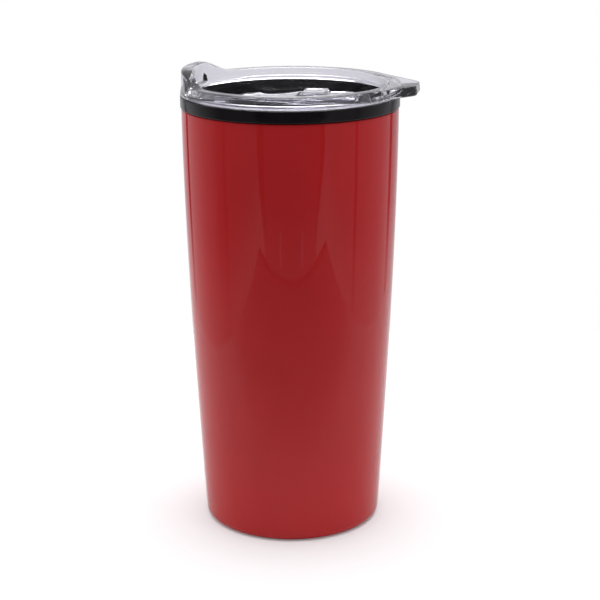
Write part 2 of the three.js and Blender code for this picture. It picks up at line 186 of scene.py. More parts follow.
def finish_mesh(name, mesh_builder, sharp=35):
    """Makes an object from a bmesh in millimetres: merged, outward-facing, smooth with sharp edges."""
    bmesh.ops.remove_doubles(mesh_builder, verts=mesh_builder.verts, dist=1e-4)
    bmesh.ops.dissolve_degenerate(mesh_builder, dist=1e-5, edges=mesh_builder.edges)
    bmesh.ops.recalc_face_normals(mesh_builder, faces=mesh_builder.faces)
    bmesh.ops.scale(mesh_builder, vec=(MM, MM, MM), verts=mesh_builder.verts)
    mesh = bpy.data.meshes.new(name)
    mesh_builder.to_mesh(mesh)
    mesh_builder.free()
    mesh.shade_smooth()
    mesh.set_sharp_from_angle(angle=math.radians(sharp))
    piece = bpy.data.objects.new(name, mesh)
    bpy.context.scene.collection.objects.link(piece)
    return piece


def loops_mesh(name, loops, ring, capped=False, sharp=35):
    """Joins rows of points by quads; ring closes the rows on each other, capped closes the end rows."""
    builder = bmesh.new()
    rows = [[builder.verts.new(point) for point in loop] for loop in loops]
    count = len(rows[0])
    for i in range(len(rows) if ring else len(rows) - 1):
        row, following = rows[i], rows[(i + 1) % len(rows)]
        for j in range(count if capped else count - 1):
            k = (j + 1) % count
            builder.faces.new((row[j], row[k], following[k], following[j]))
    if capped:
        builder.faces.new(rows[0])
        builder.faces.new(rows[-1])
    return finish_mesh(name, builder, sharp)


def turned(name, profile, segments=192, closed=False, sharp=35):
    """A turned solid from a profile of (radius, height) points, from axis to axis or closed on itself."""
    points = list(profile) + ([profile[0]] if closed else [])
    loops = []
    for i in range(segments):
        angle = 2 * math.pi * i / segments
        loops.append([(r * math.cos(angle), r * math.sin(angle), z) for r, z in points])
    return loops_mesh(name, loops, ring=True, sharp=sharp)


def prism(name, outline, low, high, bevel=0.0, axis="Z"):
    """A solid between two depths along an axis, from an outline in the other two directions."""
    place = {
        "Z": lambda a, b, depth: (a, b, depth),
        "X": lambda a, b, depth: (depth, a, b),
        "Y": lambda a, b, depth: (a, depth, b),
    }[axis]
    loops = [[place(a, b, depth) for a, b in outline] for depth in (low, high)]
    piece = loops_mesh(name, loops, ring=False, capped=True)
    if bevel:
        modifier = piece.modifiers.new("soft_edges", "BEVEL")
        modifier.width = bevel * MM
        modifier.segments = 3
        modifier.limit_method = "ANGLE"
        modifier.angle_limit = math.radians(40)
        apply_modifiers(piece)
    return piece


def apply_modifiers(piece):
    """Bakes a piece's modifiers into its mesh."""
    depsgraph = bpy.context.evaluated_depsgraph_get()
    mesh = bpy.data.meshes.new_from_object(piece.evaluated_get(depsgraph))
    piece.modifiers.clear()
    old = piece.data
    piece.data = mesh
    bpy.data.meshes.remove(old)


def combine(piece, operation, tools, sharp=35):
    """Joins solids to a piece, or cuts them from it, and removes them."""
    for tool in tools:
        modifier = piece.modifiers.new(operation.lower(), "BOOLEAN")
        modifier.operation = operation
        modifier.solver = "EXACT"
        modifier.object = tool
    apply_modifiers(piece)
    for tool in tools:
        bpy.data.objects.remove(tool)
    piece.data.shade_smooth()
    piece.data.set_sharp_from_angle(angle=math.radians(sharp))


def rounded_rectangle(x_range, half, radius, steps=6):
    """A plan outline between two X values, the same either side of the middle."""
    x0, x1 = x_range
    corners = [(x0, -half, radius), (x1, -half, radius), (x1, half, radius), (x0, half, radius)]
    return rounded(corners, steps, closed=True)


def end_rectangle(half, low, high):
    """An end outline in Y and Z, the same either side of the middle."""
    return [(-half, low), (half, low), (half, high), (-half, high)]


def smooth_fall(value, start, end):
    """1 before start, 0 after end, and an even S-curve between."""
    t = min(1.0, max(0.0, (value - start) / (end - start)))
    return 1 - t * t * (3 - 2 * t)


# ---- Cup pieces ----

def shell_radius(z):
    down = max(0.0, (COLLAR_BOTTOM_Z - z) / COLLAR_BOTTOM_Z)
    return SHELL_TOP_R - (SHELL_TOP_R - SHELL_BASE_R) * down ** SHELL_TAPER


def liner_radius(z):
    down = max(0.0, (SHOULDER_Z - z) / (SHOULDER_Z - LINER_FLOOR_Z))
    return SHOULDER_R - (SHOULDER_R - LINER_BASE_R) * down ** LINER_TAPER


def side_points(radius, offset, low, high, steps=40):
    return [(radius(z) + offset, z) for z in (low + (high - low) * i / steps for i in range(steps + 1))]


def arc_points(centre_r, centre_z, radius, start, stop, steps=10):
    turns = (math.radians(start + (stop - start) * i / steps) for i in range(steps + 1))
    return [(centre_r + radius * math.cos(a), centre_z + radius * math.sin(a)) for a in turns]


def make_shell():
    corner_r = shell_radius(BASE_CORNER_R) - BASE_CORNER_R
    top = SHELL_HIGH.z
    profile = [
        (HEM_INNER_R, SHELL_WALL / 2),
        (HEM_INNER_R + 0.25, 0.0),
        *arc_points(corner_r, BASE_CORNER_R, BASE_CORNER_R, -90, -4),
        *side_points(shell_radius, 0, BASE_CORNER_R + 0.4, top - SHELL_LIP),
        (shell_radius(top) - SHELL_LIP, top),
        (shell_radius(top) - SHELL_WALL, top),
        *side_points(shell_radius, -SHELL_WALL, top - SHELL_LIP, BASE_CORNER_R + 0.4),
        *arc_points(corner_r, BASE_CORNER_R, BASE_CORNER_R - SHELL_WALL, -4, -90),
        (HEM_INNER_R + 0.25, SHELL_WALL),
    ]
    return turned("shell_painted", profile, closed=True)


def make_bottom_disc():
    flat_r = HEM_INNER_R - 1.1
    seat = SHELL_WALL + GAP
    profile = rounded([
        (0, 0, 0),
        (flat_r, 0, 0.5),
        (HEM_INNER_R - GAP, SHELL_WALL, 0.3),
        (HEM_INNER_R - GAP, seat, 0.2),
        (BASE_HIGH.x, seat, 0.2),
        (BASE_HIGH.x, seat + SHELL_WALL, 0.2),
        (flat_r, seat + SHELL_WALL, 0.3),
        (flat_r - SHELL_WALL, SHELL_WALL, 0.3),
        (0, SHELL_WALL, 0),
    ])
    return turned("bottom_disc", profile)


def make_liner():
    foot = LINER_FLOOR_Z + LINER_CORNER_R
    outer_foot = foot - 0.5
    outer_corner = LINER_CORNER_R + LINER_WALL - 0.5
    inner_r = liner_radius(foot) - LINER_CORNER_R
    outer_r = liner_radius(outer_foot) + LINER_WALL - outer_corner
    groove_low, groove_high = RING_LOW.z - GAP, RING_HIGH.z + GAP
    head = rounded([
        (SHOULDER_R, SHOULDER_Z - 1, 0),
        (SHOULDER_R, SHOULDER_Z, 1.0),
        (MOUTH_R, MOUTH_BOTTOM_Z, 1.5),
        (MOUTH_R, RIM_Z, 0.3),
        (COLLAR_R, RIM_Z, 0.45),
        (COLLAR_R, COLLAR_BOTTOM_Z, 0.35),
        (TONGUE_R, COLLAR_BOTTOM_Z, 0.15),
        (TONGUE_R, groove_high, 0.2),
        (RING_GROOVE_R, groove_high, 0.2),
        (RING_GROOVE_R, groove_low, 0.2),
        (TONGUE_R, groove_low, 0.2),
        (TONGUE_R, TONGUE_BOTTOM_Z, 0.4),
        (liner_radius(TONGUE_BOTTOM_Z) + LINER_WALL, TONGUE_BOTTOM_Z, 0),
    ])
    profile = [
        (0, LINER_FLOOR_Z),
        *arc_points(inner_r, foot, LINER_CORNER_R, -90, -4),
        *side_points(liner_radius, 0, foot + 0.5, SHOULDER_Z - 2),
        *head,
        *side_points(liner_radius, LINER_WALL, TONGUE_BOTTOM_Z - 0.5, outer_foot + 0.5),
        *arc_points(outer_r, outer_foot, outer_corner, -4, -90),
        (0, outer_foot - outer_corner),
    ]
    return turned("cup_liner", profile)


def make_seal_ring():
    low, high = RING_LOW.z, RING_HIGH.z
    inner, outer = RING_GROOVE_R + GAP, RING_HIGH.x
    profile = rounded([
        (inner, low, 0.3),
        (outer - 0.3, low, 0.3),
        (outer, (low + high) / 2, 0.8),
        (outer - 0.3, high, 0.3),
        (inner, high, 0.3),
    ], closed=True)
    return turned("liner_seal", profile, closed=True)


# ---- Lid pieces ----

def tab_radius(angle):
    """How far out the lid's edge reaches: the rim, or the tab's straight sides and rounded tip."""
    turn = abs((angle + math.pi) % (2 * math.pi) - math.pi)
    if turn >= TAB_EDGE_ANGLE:
        return LID_R
    edge = LID_R - 0.1
    a = TAB_EDGE_ANGLE
    side = edge / math.cos(a - turn)
    corner = Vector((TAB_TIP_X - TAB_CORNER_R, 0))
    corner.y = (edge - TAB_CORNER_R - corner.x * math.cos(a)) / math.sin(a)
    ray = Vector((math.cos(turn), math.sin(turn)))
    start = math.atan2(corner.y, TAB_TIP_X)
    stop = math.atan2(corner.y + TAB_CORNER_R * math.sin(a), corner.x + TAB_CORNER_R * math.cos(a))
    if turn < start:
        return TAB_TIP_X / math.cos(turn)
    if turn < stop:
        along = ray.dot(corner)
        return along + math.sqrt(TAB_CORNER_R ** 2 - corner.length_squared + along ** 2)
    return max(LID_R, side)


def rim_height(angle):
    """Height of the rim, rising in a smooth hump for the spout."""
    middle = (LID_R + RECESS_R) / 2
    if math.cos(angle) > 0:
        return LID_TOP_Z
    across = abs(middle * math.sin(angle))
    return LID_TOP_Z + (SPOUT_TOP_Z - LID_TOP_Z) * smooth_fall(across, SPOUT_FLAT_HALF, SPOUT_FOOT_HALF)


def scoop_half(z):
    """Half width of the scoop under the spout, in degrees round the axis."""
    low, high = SCOOP_HALF
    return low + (high - low) * (z - SCOOP_BOTTOM_Z) / (SCOOP_TOP_Z - SCOOP_BOTTOM_Z)


def scoop_depth(across, z):
    """Depth of the scoop, fading out towards the lip and ending in a steep step either side."""
    if z < SCOOP_BOTTOM_Z or z > SCOOP_TOP_Z:
        return 0.0
    fade = 1 - ((z - SCOOP_BOTTOM_Z) / (SCOOP_TOP_Z - SCOOP_BOTTOM_Z)) ** SCOOP_FADE
    middle = sum(SCOOP_HALF) / 2
    return SCOOP_DEPTH * fade * smooth_fall(across, middle + SCOOP_SIDE[0], middle + SCOOP_SIDE[1])


def scoop_point(angle, z):
    """A point inside the spout, as radius, height and how far it is moved round to follow the scoop."""
    across = math.degrees(abs(abs(angle) - math.pi))
    middle = sum(SCOOP_HALF) / 2
    follow = smooth_fall(abs(across - middle), *SCOOP_FOLLOW)
    z_in = min(max(z, SCOOP_BOTTOM_Z), SCOOP_TOP_Z)
    shift = math.radians(scoop_half(z_in) - middle) * follow
    return Vector((RECESS_R + scoop_depth(across, z), z, shift))


def lid_profile(angle):
    """Section through the lid at an angle round the axis, from the floor's top to its underside."""
    top = rim_height(angle)
    edge = tab_radius(angle)
    on_tab = min(1.0, max(0.0, (edge - LID_R) / 2))
    slope = SIDE_DRAFT + (TAB_DRAFT - SIDE_DRAFT) * on_tab
    draft = slope * (DRAFT_TOP_Z - LID_SEAT_Z)
    low_draft = slope * (TAB_BOTTOM_Z - LID_SEAT_Z)
    off_axis = min(abs(angle), math.pi - abs(angle))
    near_ends = smooth_fall(off_axis, *CHANNEL_FADE)
    channel_top = CHANNEL_TOP_Z - (CHANNEL_TOP_Z - LID_SEAT_Z - 0.2) * near_ends
    groove_low, groove_high = GASKET_LOW.z - GAP, GASKET_HIGH.z + GAP
    under = FLOOR_Z - FLOOR_THICK
    well = rounded([
        (WELL_MIDDLE_R, FLOOR_Z, 0),
        (RECESS_R, FLOOR_Z, 1.4),
        (RECESS_R, SCOOP_BOTTOM_Z, 0),
    ])
    rise = top - 1.0 - SCOOP_BOTTOM_Z
    wall = [scoop_point(angle, SCOOP_BOTTOM_Z + rise * i / WALL_ROWS) for i in range(1, WALL_ROWS + 1)]
    outside = rounded([
        (RECESS_R, top - 0.99, 0),
        (RECESS_R, top, 0.9),
        (edge - draft, top, 0.8),
        (edge - draft, DRAFT_TOP_Z, 1.0),
        (max(edge, LID_R) - low_draft, TAB_BOTTOM_Z, 0.8),
        (LID_R - low_draft, TAB_BOTTOM_Z, 0.4),
        (LID_R, LID_SEAT_Z, 0.3),
        (CHANNEL_R[1], LID_SEAT_Z, 0.2),
        (CHANNEL_R[1], channel_top, 0.4),
        (CHANNEL_R[0], channel_top, 0.4),
        (CHANNEL_R[0], LID_SEAT_Z, 0.2),
        (PLUG_R + 0.4, LID_SEAT_Z, 0.15),
        (PLUG_R, LID_SEAT_Z - 0.4, 0.2),
        (PLUG_R, groove_high, 0.2),
        (GASKET_GROOVE_R, groove_high, 0.2),
        (GASKET_GROOVE_R, groove_low, 0.2),
        (PLUG_R, groove_low, 0.2),
        (PLUG_R, PLUG_BOTTOM_Z, 0.5),
        (PLUG_FOOT_R, PLUG_BOTTOM_Z, 0.3),
        (PLUG_FOOT_R, under, 0.4),
        (WELL_MIDDLE_R, under, 0),
    ])
    points = [Vector((0, FLOOR_Z))] + well + wall + outside + [Vector((0, under))]
    return [tuple(point) if len(point) == 3 else (*point, 0.0) for point in points]


def make_lid():
    segments = 360
    loops = []
    for i in range(segments):
        angle = 2 * math.pi * i / segments - math.pi
        side = 1 if angle < 0 else -1
        loop = []
        for r, z, shift in lid_profile(angle):
            turn = angle + side * shift
            loop.append((r * math.cos(turn), r * math.sin(turn), z))
        loops.append(loop)
    lid = loops_mesh("lid_clear", loops, ring=True, sharp=50)
    combine(lid, "UNION", [make_track()], sharp=50)
    combine(lid, "DIFFERENCE", [track_hollow(), drink_hole(), vent_hole()], sharp=50)
    return lid


def make_track():
    """Raised track across the well, lipped rails along its tail half, and a stop at the tab end."""
    foot = FLOOR_Z - 0.05
    overlap = TRACK_TOP_Z - 1
    platform = end_rectangle(TRACK_HALF, foot, TRACK_TOP_Z)
    track = prism("track", platform, -LID_R, TRACK_END_X, bevel=0.18, axis="X")
    rails = []
    for side in (-1, 1):
        section = [
            (side * (TRACK_HALF - 0.01), overlap),
            (side * (TRACK_HALF - 0.01), RAIL_TOP_Z),
            (side * RAIL_LIP_HALF, RAIL_TOP_Z),
            (side * RAIL_LIP_HALF, RAIL_LIP_Z),
            (side * RAIL_WALL_HALF, RAIL_LIP_Z),
            (side * RAIL_WALL_HALF, overlap),
        ]
        rails.append(prism("rail", section[::-side], RAIL_START_X, TRACK_END_X - 0.005, bevel=0.18, axis="X"))
    stop_outline = end_rectangle(TRACK_HALF - 0.4, overlap, RAIL_TOP_Z - 0.01)
    stop = prism("track_stop", stop_outline, TRACK_END_X - FLOOR_THICK, TRACK_END_X - 0.01, axis="X")
    well_r = (RECESS_R + PLUG_R) / 2
    well = turned("well_space", [(0, foot - 1), (well_r, foot - 1), (well_r, LID_TOP_Z), (0, LID_TOP_Z)])
    combine(track, "UNION", rails + [stop])
    combine(track, "INTERSECT", [well])
    return track


def track_hollow():
    wall = FLOOR_THICK
    half = TRACK_HALF - wall
    x_range = (HOLE_X[0] - 1.2, TRACK_END_X - wall)
    outline = rounded_rectangle(x_range, half, 1.5)
    return prism("hollow", outline, PLUG_BOTTOM_Z, TRACK_TOP_Z - wall)


def drink_hole():
    return prism("hole", rounded_rectangle(HOLE_X, HOLE_HALF, 2.0), FLOOR_Z, TRACK_TOP_Z + 1)


def vent_hole():
    ring = [(VENT_X + VENT_R * math.cos(a), VENT_R * math.sin(a))
            for a in (2 * math.pi * i / 24 for i in range(24))]
    return prism("vent", ring, FLOOR_Z - 3, FLOOR_Z + 3)


def make_gasket():
    low, high = GASKET_LOW.z, GASKET_HIGH.z
    inner, rib = GASKET_GROOVE_R + GAP, GASKET_HIGH.y
    waist = PLUG_R - 0.2
    third = (high - low) / 3
    profile = rounded([
        (inner, low, 0.2),
        (rib, low, 0.3),
        (rib, low + third, 0.3),
        (waist, (low + high) / 2, 0.25),
        (rib, high - third, 0.3),
        (rib, high, 0.3),
        (inner, high, 0.2),
    ], closed=True)
    return turned("lid_gasket_ring", profile, closed=True)


# ---- Slide closure pieces ----

def plan_half(x, half, radius):
    """Half the width of a rounded rectangle between the slider's ends."""
    inset = min(x - SLIDER_LOW.x, SLIDER_HIGH.x - x)
    if inset >= radius:
        return half
    return half - radius + math.sqrt(max(0.0, radius ** 2 - (radius - inset) ** 2))


def slider_top(x):
    """Top line without the grip: a low bead over the seal, a ramp up to the tail, and a thin slot."""
    nose = NOSE_DROP * smooth_fall(x - SLIDER_LOW.x, 0, NOSE_RUN)
    tail = TAIL_DROP * (1 - smooth_fall(x, SLIDER_HIGH.x - TAIL_RUN, SLIDER_HIGH.x))
    bead = BEAD_RISE * math.exp(-((x - BEAD_X) / BEAD_WIDTH) ** 2)
    ramp = sum(rise * (1 - smooth_fall(x, start, end)) for rise, start, end in RAMP_RISES)
    slot = SLOT_DEPTH * math.exp(-((x - SLOT_X) / SLOT_HALF) ** 4)
    return SLIDER_LOW.z + SLIDER_THICK - nose - tail + bead + ramp - slot


def slider_section(x):
    """Section across the slider: a wide thin flange under a narrower body."""
    low = SLIDER_LOW.z
    flange = plan_half(x, FLANGE_HALF, 5.0)
    body = plan_half(x, SLIDER_HALF, 4.5)
    top = max(slider_top(x), FLANGE_TOP_Z + 0.15)
    half = rounded([
        (0, low, 0),
        (flange, low, 0.2),
        (flange, FLANGE_TOP_Z, 0.3),
        (body, FLANGE_TOP_Z, 0.15),
        (body, top, 0.5),
        (0, top, 0),
    ])
    mirrored = [Vector((-y, z)) for y, z in reversed(half[1:-1])]
    return [(x, y, z) for y, z in half + mirrored]


def make_slider():
    steps = 240
    ease = [0.5 - 0.5 * math.cos(math.pi * i / steps) for i in range(steps + 1)]
    span = SLIDER_HIGH.x - SLIDER_LOW.x
    loops = [slider_section(SLIDER_LOW.x + span * t) for t in ease]
    slider = loops_mesh("slide_closure", loops, ring=False, capped=True, sharp=40)
    front, back = GRIP_X[0] + 0.5, GRIP_X[1]
    side = [
        (front, GRIP_FOOT_Z), (back, GRIP_FOOT_Z), (back - 0.1, GRIP_FOOT_Z + 1.8),
        (back - 1.4, GRIP_TOP_Z), (front + 1.4, GRIP_TOP_Z - 0.2), (front, GRIP_FOOT_Z + 1.4),
    ]
    grip = prism("grip", side, -GRIP_HALF, GRIP_HALF, bevel=0.35, axis="Y")
    combine(slider, "UNION", [grip], sharp=40)
    outline = rounded_rectangle((PAD_LOW.x - GAP, PAD_HIGH.x + GAP), PAD_HIGH.y + GAP, PAD_CORNER_R + GAP)
    pocket = prism("pocket", outline, SLIDER_LOW.z - 1, PAD_HIGH.z + GAP)
    combine(slider, "DIFFERENCE", [pocket], sharp=40)
    return slider


def make_seal_pad():
    outline = rounded_rectangle((PAD_LOW.x, PAD_HIGH.x), PAD_HIGH.y, PAD_CORNER_R)
    return prism("slide_seal_pad", outline, PAD_LOW.z, PAD_HIGH.z, bevel=0.2)


# ---- Materials ----

class Surface:
    """A node material with short calls for the nodes that these finishes use."""

    def __init__(self, name, **sockets):
        self.material = bpy.data.materials.new(name)
        self.material.use_nodes = True
        self.tree = self.material.node_tree
        self.shader = self.tree.nodes["Principled BSDF"]
        self.place = self.tree.nodes.new("ShaderNodeTexCoord").outputs["Object"]
        for socket, value in sockets.items():
            self.shader.inputs[socket.replace("_", " ")].default_value = value

    def link(self, source, target):
        self.tree.links.new(source, target)

    def feed(self, socket, source):
        self.link(source, self.shader.inputs[socket])

    def noise(self, scale, detail, stretch=(1, 1, 1)):
        mapping = self.tree.nodes.new("ShaderNodeMapping")
        mapping.inputs["Scale"].default_value = stretch
        self.link(self.place, mapping.inputs["Vector"])
        node = self.tree.nodes.new("ShaderNodeTexNoise")
        node.inputs["Scale"].default_value = scale
        node.inputs["Detail"].default_value = detail
        self.link(mapping.outputs["Vector"], node.inputs["Vector"])
        return node.outputs["Fac"]

    def spread(self, source, low, high):
        """Turns the middle of a noise's range into values between low and high."""
        node = self.tree.nodes.new("ShaderNodeMapRange")
        node.inputs["From Min"].default_value = 0.3
        node.inputs["From Max"].default_value = 0.7
        node.inputs["To Min"].default_value = low
        node.inputs["To Max"].default_value = high
        self.link(source, node.inputs["Value"])
        return node.outputs["Result"]

    def ramp(self, source, first, second):
        """Blends two colours by a noise."""
        node = self.tree.nodes.new("ShaderNodeValToRGB")
        node.color_ramp.elements[0].position = 0.35
        node.color_ramp.elements[1].position = 0.65
        node.color_ramp.elements[0].color = (*first, 1)
        node.color_ramp.elements[1].color = (*second, 1)
        self.link(source, node.inputs["Fac"])
        return node.outputs["Color"]

    def bump(self, *layers):
        """Each layer is (height source, strength, distance in metres)."""
        normal = None
        for source, strength, distance in layers:
            node = self.tree.nodes.new("ShaderNodeBump")
            node.inputs["Strength"].default_value = strength
            node.inputs["Distance"].default_value = distance
            self.link(source, node.inputs["Height"])
            if normal:
                self.link(normal, node.inputs["Normal"])
            normal = node.outputs["Normal"]
        self.link(normal, self.shader.inputs["Normal"])


def red_paint():
    s = Surface("red_paint", Metallic=0.0, IOR=1.33)
    s.feed("Base Color", s.ramp(s.noise(18, 4), (0.50, 0.0188, 0.0200), (0.54, 0.0206, 0.0220)))
    s.feed("Roughness", s.spread(s.noise(60, 5), 0.02, 0.045))
    s.bump((s.noise(420, 2), 0.006, 0.0004), (s.noise(1500, 2), 0.006, 0.0001))
    return s.material


def bare_steel():
    s = Surface("bare_steel", Metallic=1.0, Anisotropic=0.5)
    brushed = s.noise(900, 3, stretch=(1, 1, 0.1))
    s.feed("Base Color", s.ramp(brushed, (0.50, 0.50, 0.49), (0.62, 0.62, 0.61)))
    s.feed("Roughness", s.spread(s.noise(300, 4), 0.24, 0.38))
    s.bump((s.noise(1800, 3), 0.08, 0.0001))
    return s.material


def black_plastic():
    s = Surface("black_plastic", Metallic=0.0, IOR=1.34)
    s.feed("Base Color", s.ramp(s.noise(120, 3), (0.0040, 0.0025, 0.0029), (0.0054, 0.0035, 0.0040)))
    s.feed("Roughness", s.spread(s.noise(200, 4), 0.16, 0.26))
    s.bump((s.noise(900, 2), 0.03, 0.0001))
    return s.material


def clear_plastic():
    s = Surface("clear_plastic", Metallic=0.0, IOR=1.49, Transmission_Weight=0.993)
    s.feed("Base Color", s.ramp(s.noise(30, 2), (0.925, 0.918, 0.965), (0.940, 0.933, 0.975)))
    s.feed("Roughness", s.spread(s.noise(90, 3), 0.01, 0.035))
    s.bump((s.noise(160, 1), 0.04, 0.0004), (s.noise(70, 0), 0.10, 0.0006))
    return s.material


def soft_rubber():
    s = Surface("soft_rubber", Metallic=0.0, IOR=1.41, Transmission_Weight=0.25, Subsurface_Weight=0.3)
    s.shader.inputs["Subsurface Radius"].default_value = (1, 1, 1)
    s.shader.inputs["Subsurface Scale"].default_value = 0.001
    s.feed("Base Color", s.ramp(s.noise(200, 3), (0.70, 0.71, 0.72), (0.78, 0.79, 0.79)))
    s.feed("Roughness", s.spread(s.noise(500, 3), 0.4, 0.55))
    s.bump((s.noise(1400, 2), 0.06, 0.0001))
    return s.material


# ---- Assembly ----

MATERIALS = {
    "red_paint": red_paint(),
    "bare_steel": bare_steel(),
    "black_plastic": black_plastic(),
    "clear_plastic": clear_plastic(),
    "soft_rubber": soft_rubber(),
}

PIECES = (
    (make_shell, "cup", "outer_shell", "red_paint"),
    (make_bottom_disc, "cup", "shell_base", "bare_steel"),
    (make_liner, "cup", "inner_liner", "black_plastic"),
    (make_seal_ring, "cup", "liner_seal_ring", "soft_rubber"),
    (make_lid, "lid", "lid_body", "clear_plastic"),
    (make_gasket, "lid", "lid_gasket", "soft_rubber"),
    (make_slider, "closure", "slider", "clear_plastic"),
    (make_seal_pad, "closure", "slider_seal", "soft_rubber"),
)

for make, body, node, slot in PIECES:
    piece = make()
    piece.data.materials.clear()
    piece.data.materials.append(MATERIALS[slot])
    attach(piece, body)
    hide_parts(node)


# ---- Stage: a small light tent, open towards the camera ----

CAMERA_AZIMUTH = math.radians(10.3)
FORWARD = Vector((math.sin(CAMERA_AZIMUTH), -math.cos(CAMERA_AZIMUTH), 0))
SIDEWAYS = Vector((math.cos(CAMERA_AZIMUTH), math.sin(CAMERA_AZIMUTH), 0))
TENT_FRONT = 0.36
TENT_BACK = -0.245
TENT_LEFT = -0.235
TENT_RIGHT = 0.265
TENT_TOP = 0.55
# Light level of the walls by bearing in degrees round the tumbler; zero is towards the camera.
TENT_LIGHT = (
    (-180, 0.76), (-160, 0.76), (-137, 0.75), (-136, 0.0), (-131, 0.0), (-130, 0.80), (-108, 0.74),
    (-95, 0.56), (-85, 0.46), (-76, 0.22), (-71, 0.18), (-69.6, 0.16), (-68.9, 0.05), (-67, 0.05),
    (-66.3, 0.22), (-37, 0.27), (36, 0.48), (48, 0.40), (66.2, 0.42), (67, 0.0), (69.2, 0.0),
    (70, 0.43), (88.5, 0.55), (103, 0.61), (121, 0.78), (122.6, 0.78), (123.6, 0.10), (129.3, 0.10),
    (130.3, 0.58), (150, 0.67), (180, 0.76),
)
# How clear the floor is, by distance towards the camera. This is painted shade: where the floor is clear,
# reflections see dark in place of the shade on the table towards the camera, and under the tumbler the
# thinner floor gives a weaker contact shadow.
FLOOR_PAINTED_SHADE = ((0.09, 0.17), (0.12, 0.36), (0.16, 0.52), (0.25, 0.62), (0.335, 0.68), (0.36, 1.0))
# Outlines on the front wall, as sideways and height: the dark edge of the opening, and the opening.
OPENING_EDGE = (
    (-0.180, 0.0), (-0.190, 0.020), (-0.204, 0.032), (-0.221, 0.046), (-0.234, 0.075), (-0.235, 0.54),
    (0.246, 0.54), (0.245, 0.080), (0.225, 0.060), (0.209, 0.046), (0.188, 0.032), (0.180, 0.020),
    (0.170, 0.0),
)
OPENING = (
    (-0.155, 0.0), (-0.160, 0.020), (-0.166, 0.032), (-0.176, 0.075), (-0.176, 0.53),
    (0.202, 0.53), (0.201, 0.075), (0.183, 0.046), (0.176, 0.032), (0.168, 0.020), (0.160, 0.0),
)
# Two small bright strips low in the opening: where they stand, and the outline of one.
LAMP_FEET = (-0.0655, 0.0715)
LAMP_FOOT = ((-0.005, 0.008), (0.005, 0.008), (0.003, 0.034), (-0.003, 0.034))
LAMP_FOOT_LEVEL = 0.75
# Lighter foot of the cloth, where it curves into the table: its height, the share of the level that it
# keeps there, and what is added.
CLOTH_FOOT = (0.075, 0.5, 0.55)
# Tint of the panels in the opening, a cool daylight.
OPENING_TINT = (0.92, 0.94, 1.25)
# Lamps: name, place as (forward, sideways, height) in metres, size, and power in watts.
OVERHEAD_LIGHT = ("overhead_softbox", (0.0, 0.015, TENT_TOP), (0.46, 0.46), 3.8)
FILL_LIGHTS = (
    ("left_fill", (0.0, -0.2, 0.16), (0.2, 0.2), 0.075),
    ("right_fill", (0.0, 0.2, 0.16), (0.2, 0.2), 0.015),
    ("front_fill", (0.34, 0.0, 0.30), (0.25, 0.25), 0.20),
)
LAMP_AIM_Z = 0.09
# The camera: a long lens, a little above the lid, with small corrections to where it points.
CAMERA_DISTANCE = 0.6312
CAMERA_HEIGHT = 0.27585
CAMERA_LENS = 96.14
CAMERA_SENSOR = 36.0
CAMERA_PAN = math.radians(-0.3226)
CAMERA_DOWN = math.radians(16.288)
CAMERA_ROLL = math.radians(-0.254)


def stage_place(forward, sideways, z):
    """A place in metres, from distances towards the camera, to its right, and up."""
    return FORWARD * forward + SIDEWAYS * sideways + Vector((0, 0, z))


def stage_panel(name, corners):
    """A flat stage panel from its corners, each as (forward, sideways, height) in metres."""
    builder = bmesh.new()
    builder.faces.new([builder.verts.new(stage_place(*corner) / MM) for corner in corners])
    panel = finish_mesh(name, builder)
    return panel


def make_floor():
    """White floor of the tent, thin under the tumbler and fading out in front of it: painted shade on the
    table towards the camera, seen in reflections as the dark behind the clear floor.
    """
    floor = stage_panel("floor", (
        (TENT_FRONT, TENT_LEFT, 0),
        (TENT_FRONT, TENT_RIGHT, 0),
        (TENT_BACK, TENT_RIGHT, 0),
        (TENT_BACK, TENT_LEFT, 0),
    ))
    if floor.data.polygons[0].normal.z < 0:
        floor.data.flip_normals()
    s = Surface("table_white", Roughness=0.7, IOR=1.3)
    s.shader.inputs["Base Color"].default_value = (0.92, 0.92, 0.92, 1)
    nodes, links = s.tree.nodes, s.tree.links
    along = nodes.new("ShaderNodeVectorMath")
    along.operation = "DOT_PRODUCT"
    along.inputs[1].default_value = FORWARD
    links.new(s.place, along.inputs[0])
    # Painted shade: this ramp clears the floor towards the camera, so reflections of the table darken there
    # while the camera still sees white.
    fade = nodes.new("ShaderNodeValToRGB")
    stops = fade.color_ramp.elements
    for distance, _ in FLOOR_PAINTED_SHADE[2:]:
        stops.new(distance)
    for stop, (distance, level) in zip(stops, FLOOR_PAINTED_SHADE):
        stop.position = distance
        stop.color = (level, level, level, 1)
    links.new(along.outputs["Value"], fade.inputs["Fac"])
    clear = nodes.new("ShaderNodeBsdfTransparent")
    mix = nodes.new("ShaderNodeMixShader")
    links.new(fade.outputs["Color"], mix.inputs["Fac"])
    links.new(s.shader.outputs["BSDF"], mix.inputs[1])
    links.new(clear.outputs["BSDF"], mix.inputs[2])
    links.new(mix.outputs["Shader"], nodes["Material Output"].inputs["Surface"])
    floor.data.materials.append(s.material)


